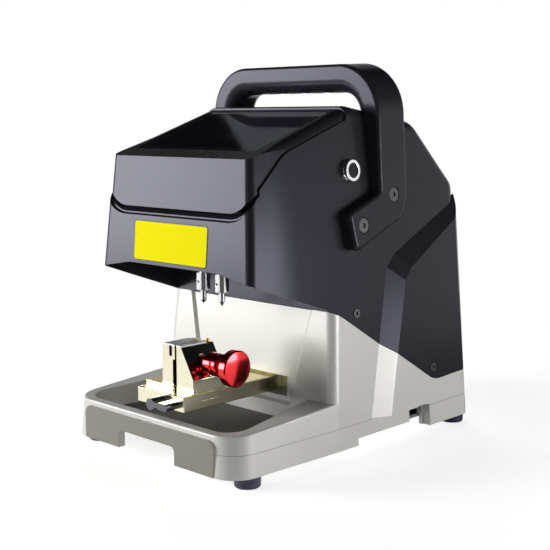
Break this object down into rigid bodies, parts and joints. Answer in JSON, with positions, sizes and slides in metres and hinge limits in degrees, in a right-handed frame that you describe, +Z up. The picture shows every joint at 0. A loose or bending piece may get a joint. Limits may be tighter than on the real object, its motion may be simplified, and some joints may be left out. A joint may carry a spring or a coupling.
{
  "type": "key duplicating machine",
  "caption": "Bench-top key duplicating machine: cast tray base with a sliding key vise, a cutter and tracer under a moulded head with a sloped screen and a carrying handle.",
  "frame": {"origin": "middle of the footprint on the floor, under the feet", "axes": "+X to the machine's right seen from the front, the front with the tray faces -Y, +Z up"},
  "size_m": [0.2466, 0.3262, 0.3532],
  "materials": {
    "casting": "satin",
    "plate_steel": "satin",
    "foot_rubber": "matte",
    "screw_steel": "satin",
    "cover_plastic": "fine texture",
    "handle_plastic": "fine texture",
    "screen_glass": "polished",
    "bright_steel": "polished",
    "black_plastic": "satin",
    "board": "satin",
    "bracket_aluminium": "machined",
    "motor_steel": "satin",
    "vise_metal": "satin",
    "brass": "machined",
    "red_anodised": "polished",
    "dark_steel": "satin"
  },
  "bodies": {
    "machine": {"base_casting": "casting", "bottom_plate": "plate_steel", "rubber_feet": "foot_rubber", "foot_screws": "screw_steel", "main_cover": "cover_plastic", "screen_housing": "cover_plastic", "screen_glass": "screen_glass", "display_panel": "black_plastic", "carry_handle": "handle_plastic", "handle_screws": "screw_steel", "cover_screws": "screw_steel", "button_body": "bright_steel", "button_nut": "bright_steel", "power_inlet": "black_plastic", "control_board": "board", "x_guide_rods": "bright_steel", "x_end_blocks": "bracket_aluminium", "x_motor": "motor_steel", "z_frame": "bracket_aluminium", "z_guide_rods": "bright_steel", "z_motor": "motor_steel"},
    "power_button": {"button_cap": "black_plastic"},
    "x_saddle": {"x_carriage": "vise_metal", "x_nut": "brass", "window_shield": "vise_metal", "y_motor_bracket": "bracket_aluminium", "y_motor": "motor_steel"},
    "x_screw": {"x_lead_screw": "bright_steel"},
    "y_slide": {"vise_bar": "vise_metal", "fixed_jaw": "vise_metal", "fixed_jaw_plate": "plate_steel", "gauge_block": "dark_steel", "y_nut": "brass"},
    "y_screw": {"y_lead_screw": "bright_steel"},
    "vise_jaw": {"moving_jaw": "vise_metal", "moving_jaw_plate": "plate_steel", "key_stop_pin": "brass"},
    "clamp": {"clamp_screw": "bright_steel", "clamp_knob": "red_anodised"},
    "z_head": {"z_carriage": "bracket_aluminium", "spindle_housing": "bracket_aluminium", "spindle_bearings": "bright_steel", "spindle_motor": "motor_steel", "tracer_housing": "bracket_aluminium", "z_nut": "brass"},
    "z_screw": {"z_lead_screw": "bright_steel"},
    "spindle": {"spindle_shaft": "bright_steel", "cutter_bit": "dark_steel", "cutter_grub_screw": "dark_steel"},
    "tracer": {"tracer_stem": "bright_steel", "tracer_probe": "dark_steel", "tracer_grub_screw": "dark_steel"}
  },
  "joints": [
    {"name": "button_press", "type": "slide", "parent": "machine", "child": "power_button", "axis": [-0.9964, 0, -0.0847], "range_m": [0, 0.0015], "stiffness_N_per_m": 700, "springref_m": -0.0006},
    {"name": "x_travel", "type": "slide", "parent": "machine", "child": "x_saddle", "axis": [1, 0, 0], "range_m": [-0.0246, 0.0154]},
    {"name": "x_screw_turn", "type": "hinge", "parent": "machine", "child": "x_screw", "pos_m": [0, -0.002, 0.042], "axis": [1, 0, 0], "range_deg": [-1109, 695]},
    {"name": "y_travel", "type": "slide", "parent": "x_saddle", "child": "y_slide", "axis": [0, 1, 0], "range_m": [-0.006, 0.04]},
    {"name": "y_screw_turn", "type": "hinge", "parent": "x_saddle", "child": "y_screw", "pos_m": [0.0046, 0, 0.0593], "axis": [0, 1, 0], "range_deg": [-434, 2882]},
    {"name": "jaw_slide", "type": "slide", "parent": "y_slide", "child": "vise_jaw", "axis": [1, 0, 0], "range_m": [-0.0015, 0.004]},
    {"name": "clamp_turn", "type": "hinge", "parent": "vise_jaw", "child": "clamp", "pos_m": [0.04, -0.119, 0.0915], "axis": [1, 0, 0], "range_deg": [-362, 962]},
    {"name": "z_travel", "type": "slide", "parent": "machine", "child": "z_head", "axis": [0, 0, 1], "range_m": [-0.025, 0.006]},
    {"name": "z_screw_turn", "type": "hinge", "parent": "machine", "child": "z_screw", "pos_m": [0, -0.018, 0.2], "axis": [0, 0, 1], "range_deg": [-1127, 272]},
    {"name": "spindle_spin", "type": "hinge", "parent": "z_head", "child": "spindle", "pos_m": [-0.0123, -0.0816, 0.18], "axis": [0, 0, 1], "continuous": true},
    {"name": "tracer_plunge", "type": "slide", "parent": "z_head", "child": "tracer", "axis": [0, 0, 1], "range_m": [0, 0.002], "stiffness_N_per_m": 1500, "springref_m": -0.001}
  ],
  "couplings": [
    {"joint": "x_screw_turn", "follows": "x_travel", "rad_per_m": 785.4},
    {"joint": "y_screw_turn", "follows": "y_travel", "rad_per_m": 1256.6},
    {"joint": "z_screw_turn", "follows": "z_travel", "rad_per_m": 785.4},
    {"joint": "clamp_turn", "follows": "jaw_slide", "rad_per_m": 4188.8}
  ]
}
